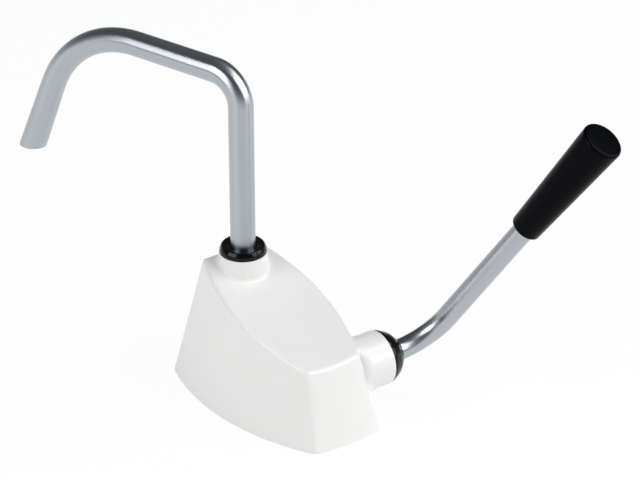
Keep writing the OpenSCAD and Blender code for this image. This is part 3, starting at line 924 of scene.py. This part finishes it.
@dataclass
class Lever:
    """The cranked lever, its gland and its grip."""

    line_y: float = -37.5
    line_z: float = 31.0
    radius: float = 6.35
    wall: float = 1.2
    from_x: float = 22.5
    straight_out: float = 0.5
    bend_radius: float = 30.0
    bend: float = 76.0
    lean: float = 31.0
    grip_from: float = 110.0
    grip_length: float = 80.0
    grip_start_radius: float = 9.1
    grip_end_radius: float = 12.4
    grip_edge: float = 2.0
    grip_foot_edge: float = 0.7
    grip_play: float = 0.05
    tube_in_grip: float = 0.75
    gland_x: float = 40.5
    gland_height: float = 11.5
    gland_radius: float = 16.4
    gland_steps: tuple[float, float, float] = (2.4, 5.0, 7.2)
    gland_shares: tuple[float, float, float] = (0.14, 0.58, 0.83)
    groove_count: int = 3
    groove_pitch: float = 0.75
    groove_depth: float = 0.22
    groove_half: float = 0.25
    gland_play: float = 0.06
    skirt_radius: float = 11.95
    skirt_depth: float = 5.0

    @property
    def line(self) -> Vector:
        """The shaft line's point at the middle of the pump."""
        return Vector((0, self.line_y, self.line_z))

    @property
    def setback(self) -> float:
        """Length from the corner, where the two straights' lines meet, back to the bend."""
        return self.bend_radius * math.tan(math.radians(self.bend) / 2)

    @property
    def bend_from_x(self) -> float:
        """Start of the bend."""
        return self.gland_x + self.gland_height + self.straight_out

    @property
    def bend_line(self) -> Vector:
        """The line that the tube bends about."""
        lean = math.radians(self.lean)
        return Vector((0, -math.cos(lean), -math.sin(lean)))

    @property
    def arm(self) -> Vector:
        """The direction of the arm beyond the bend."""
        return Matrix.Rotation(math.radians(self.bend), 3, self.bend_line) @ Vector((1, 0, 0))

    def tube(self) -> bpy.types.Object:
        """The bent lever tube."""
        reach = self.grip_from + self.grip_length * self.tube_in_grip
        return Tube(
            name="lever_bent_tube",
            radius=self.radius,
            wall=self.wall,
            start=self.line + Vector((self.from_x, 0, 0)),
            along=Vector((1, 0, 0)),
            bend_axis=self.bend_line,
            steps=[
                ("straight", self.bend_from_x - self.from_x, 0.0),
                ("bend", self.bend, self.bend_radius),
                ("straight", reach - self.setback, 0.0),
            ],
        ).build()

    def gland(self) -> bpy.types.Object:
        """The black domed gland on the lever boss, with fine turned grooves near the tube."""
        face, high = self.gland_x, self.gland_height
        bore = self.radius + self.gland_play
        rims = [self.gland_radius - step for step in (0.0, *self.gland_steps)]
        heights = [face + high * share for share in (*self.gland_shares, 1.0)]
        dome = [(rim, height, SOFT_EDGE) for rim, height in zip(rims, heights)]
        return Turning(
            name="lever_gland_dome",
            corners=[
                (bore, face - self.skirt_depth, FINE_EDGE),
                (self.skirt_radius, face - self.skirt_depth, FINE_EDGE),
                (self.skirt_radius, face, 0.0),
                (self.gland_radius, face, SEAT_EDGE),
                *dome[:3],
                *self.grooves(dome[2], dome[3]),
                dome[3],
                (bore, face + high, LIP_EDGE),
            ],
            foot=self.line,
            along=Vector((1, 0, 0)),
        ).build()

    def grooves(
        self, start: tuple[float, float, float], end: tuple[float, float, float]
    ) -> list[tuple[float, float, float]]:
        """Corners of the fine grooves on one slope of the gland.

        Args:
            start: The slope's first corner.
            end: The slope's last corner.

        Returns:
            Corners in order, three for each groove.
        """
        low, high = Vector(start[:2]), Vector(end[:2])
        along = (high - low).normalized()
        inward = Vector((-along.y, along.x))
        middle = (low + high) / 2
        corners = []
        for number in range(self.groove_count):
            offset = (number - (self.groove_count - 1) / 2) * self.groove_pitch
            centre = middle + along * offset
            half = along * self.groove_half
            for point in (centre - half, centre + inward * self.groove_depth, centre + half):
                corners.append((point.x, point.y, 0.0))
        return corners

    def grip(self) -> bpy.types.Object:
        """The tapered hand grip with its rounded end."""
        bore, length = self.radius + self.grip_play, self.grip_length
        depth = length * self.tube_in_grip + self.grip_play
        corner = self.line + Vector((self.bend_from_x + self.setback, 0, 0))
        return Turning(
            name="hand_grip_moulding",
            corners=[
                (0.0, depth, 0.0),
                (bore, depth, 0.0),
                (bore, 0.0, FINE_EDGE),
                (self.grip_start_radius, 0.0, self.grip_foot_edge),
                (self.grip_end_radius, length, self.grip_edge),
                (0.0, length, 0.0),
            ],
            foot=corner + self.arm * self.grip_from,
            along=self.arm,
            closed=False,
        ).build()

    def build(self, paint: Paintbox) -> None:
        """Builds and places the tube, the gland and the grip."""
        place_piece(self.tube(), Body.LEVER, Slot.TUBE, paint, ["lever_tube", "lever_arm"])
        place_piece(self.gland(), Body.PUMP, Slot.GLOSS_BLACK, paint, ["lever_gland"])
        place_piece(self.grip(), Body.LEVER, Slot.GRIP, paint, ["hand_grip"])


@dataclass
class Softbox:
    """One soft lamp of the studio."""

    name: str
    place: tuple[float, float, float]
    watts: float
    size: float
    aim: tuple[float, float, float] = (0.0, 0.02, 0.08)

    def hang(self) -> None:
        """Hangs the lamp and turns it to the pump."""
        lamp = bpy.data.lights.new(self.name, "AREA")
        lamp.energy = self.watts
        lamp.shape = "SQUARE"
        lamp.size = self.size
        holder = bpy.data.objects.new(self.name, lamp)
        holder.location = self.place
        look = Vector(self.aim) - Vector(self.place)
        holder.rotation_euler = look.to_track_quat("-Z", "Y").to_euler()
        bpy.context.scene.collection.objects.link(holder)


@dataclass
class Studio:
    """A white table, soft lamps and the camera at the photograph's angle."""

    azimuth: float = -35.416
    elevation: float = 28.689
    focal_px: float = 2700.0
    image_px: tuple[int, int] = (640, 480)
    distance: float = 1.5633
    aim: tuple[float, float, float] = (0.0, -0.065, 0.0)
    aim_px: tuple[float, float] = (350.72, 444.01)
    sensor_mm: float = 36.0
    table_white: float = 0.94
    table_card: str = "#F4F4F4"
    table_half: float = 4.0
    haze_top: float = 0.25
    glow: float = 0.35
    ceiling: float = 0.1
    lamps: list[Softbox] = field(
        default_factory=lambda: [
            Softbox("key_softbox", (0.85, -0.85, 1.0), 26.3, 1.6),
            Softbox("fill_softbox", (-1.15, 0.05, 0.8), 11.5, 1.0),
        ]
    )

    def camera(self) -> None:
        """Sets the camera so that the aim point falls on its pixel."""
        a, e = math.radians(self.azimuth), math.radians(self.elevation)
        back = Vector(
            (math.sin(a) * math.cos(e), -math.cos(a) * math.cos(e), math.sin(e))
        )
        right = Vector((math.cos(a), math.sin(a), 0))
        up = back.cross(right)
        wide, high = self.image_px
        per_px = self.distance / self.focal_px
        spot = (
            Vector(self.aim)
            - right * (self.aim_px[0] - wide / 2) * per_px
            - up * (high / 2 - self.aim_px[1]) * per_px
            + back * self.distance
        )
        lens = bpy.data.cameras.new("photo_camera")
        lens.sensor_fit = "HORIZONTAL"
        lens.sensor_width = self.sensor_mm
        lens.lens = self.sensor_mm * self.focal_px / wide
        holder = bpy.data.objects.new("photo_camera", lens)
        turn = Matrix((right, up, back)).transposed().to_4x4()
        holder.matrix_world = Matrix.Translation(spot) @ turn
        bpy.context.scene.collection.objects.link(holder)
        bpy.context.scene.camera = holder

    def seen_directly(self, tree: bpy.types.NodeTree) -> bpy.types.NodeSocket:
        """One for rays from the camera or from a glossy or clear surface, else zero."""
        path = add_node(tree, "ShaderNodeLightPath").outputs
        shiny = add_node(
            tree,
            "ShaderNodeMath",
            {0: path["Is Glossy Ray"], 1: path["Is Transmission Ray"]},
            operation="MAXIMUM",
        ).outputs[0]
        return add_node(
            tree,
            "ShaderNodeMath",
            {0: path["Is Camera Ray"], 1: shiny},
            operation="MAXIMUM",
        ).outputs[0]

    def world(self) -> None:
        """A dim surround, a little lighter near the table than overhead."""
        world = bpy.data.worlds.new("studio")
        world.use_nodes = True
        tree = world.node_tree
        tree.nodes.clear()
        ray = add_node(tree, "ShaderNodeTexCoord").outputs["Generated"]
        rise = add_node(tree, "ShaderNodeSeparateXYZ", {0: ray}).outputs["Z"]
        strength = add_node(
            tree,
            "ShaderNodeMapRange",
            {
                "Value": rise,
                "From Max": self.haze_top,
                "To Min": self.glow,
                "To Max": self.ceiling,
            },
        ).outputs["Result"]
        glow = add_node(
            tree, "ShaderNodeBackground", {"Color": linear(PURE_WHITE), "Strength": strength}
        )
        add_node(tree, "ShaderNodeOutputWorld", {"Surface": glow.outputs[0]})
        bpy.context.scene.world = world

    def table(self) -> None:
        """A white table top that keeps a faint shadow."""
        bm = bmesh.new()
        bmesh.ops.create_grid(bm, x_segments=1, y_segments=1, size=self.table_half)
        table = make_object("studio_table", bm)
        material = bpy.data.materials.new("white_table_card")
        material.use_nodes = True
        tree = material.node_tree
        tree.nodes.clear()
        card = add_node(tree, "ShaderNodeBsdfDiffuse", {"Color": linear(self.table_card)})
        white = add_node(tree, "ShaderNodeEmission", {"Color": linear(PURE_WHITE)})
        share = add_node(
            tree,
            "ShaderNodeMapRange",
            {"Value": self.seen_directly(tree), "To Max": self.table_white},
        ).outputs["Result"]
        surface = add_node(
            tree,
            "ShaderNodeMixShader",
            {0: share, 1: card.outputs[0], 2: white.outputs[0]},
        )
        add_node(tree, "ShaderNodeOutputMaterial", {"Surface": surface.outputs[0]})
        table.data.materials.append(material)

    def build(self) -> None:
        """Sets the camera, the surround, the table and the lamps."""
        bpy.context.scene.view_settings.view_transform = "Standard"
        self.camera()
        self.world()
        self.table()
        for lamp in self.lamps:
            lamp.hang()


def main() -> None:
    """Builds the studio and every piece."""
    logging.basicConfig(level=logging.INFO, format="%(name)s: %(message)s")
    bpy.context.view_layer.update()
    Studio().build()
    paint = Paintbox()
    paint.dress_frame()
    place_piece(Cover().build(), Body.PUMP, Slot.WHITE, paint, ["cover"])
    Spout().build(paint)
    Lever().build(paint)


if __name__ == "__main__":
    main()
